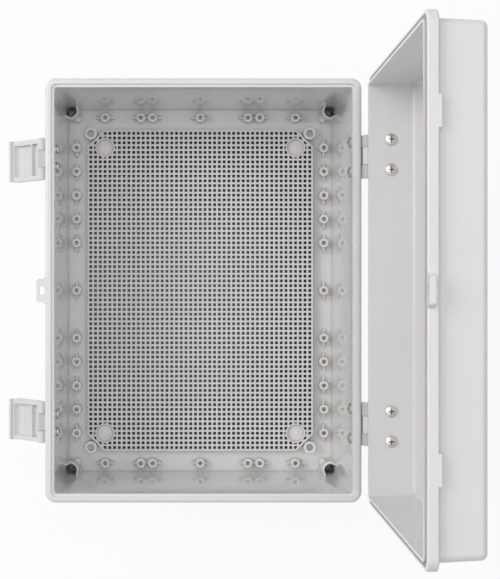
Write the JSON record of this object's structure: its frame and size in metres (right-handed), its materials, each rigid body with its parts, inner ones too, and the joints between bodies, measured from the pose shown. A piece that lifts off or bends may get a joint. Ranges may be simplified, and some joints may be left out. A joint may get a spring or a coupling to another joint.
{
  "type": "plastic enclosure",
  "caption": "Hinged rectangular plastic wall enclosure, lid swung open, with toggle latches, a gasketed rim, floor bosses and a perforated mounting plate.",
  "frame": {"origin": "middle of the flat back of the base box", "axes": "+Z out of the open box, +X to the hinge side, +Y to the upper end"},
  "size_m": [0.3954, 0.4064, 0.4513],
  "materials": {
    "housing": "light grey moulded plastic, semi-gloss",
    "plate": "light grey moulded plastic",
    "hinge": "light grey moulded plastic, satin",
    "latch": "light grey moulded plastic",
    "gasket": "light grey foam rubber",
    "steel": "nickel-plated"
  },
  "bodies": {
    "base": {"base_box": "housing", "mounting_plate": "plate", "hinge_base_leaf_upper": "hinge", "hinge_base_leaf_lower": "hinge", "hinge_pin_upper": "steel", "hinge_pin_lower": "steel", "hinge_base_screws_upper": "steel", "hinge_base_screws_lower": "steel", "latch_bracket_upper": "hinge", "latch_bracket_lower": "hinge", "latch_pin_upper": "steel", "latch_pin_lower": "steel", "latch_screws_upper": "steel", "latch_screws_lower": "steel"},
    "lid": {"lid": "housing", "lid_gasket": "gasket", "hinge_lid_leaf_upper": "hinge", "hinge_lid_leaf_lower": "hinge", "hinge_lid_screws_upper": "steel", "hinge_lid_screws_lower": "steel"},
    "latch_upper": {"latch_lever_upper": "latch"},
    "latch_lower": {"latch_lever_lower": "latch"}
  },
  "joints": [
    {"name": "lid_hinge", "type": "hinge", "parent": "base", "child": "lid", "pos_m": [0.1568, 0, 0.135], "axis": [0, -1, 0], "range_deg": [0, 89]},
    {"name": "latch_upper_hinge", "type": "hinge", "parent": "base", "child": "latch_upper", "pos_m": [-0.157, 0.1287, 0.104], "axis": [0, 1, 0], "range_deg": [0, 138]},
    {"name": "latch_lower_hinge", "type": "hinge", "parent": "base", "child": "latch_lower", "pos_m": [-0.157, -0.1287, 0.104], "axis": [0, 1, 0], "range_deg": [0, 138]}
  ]
}
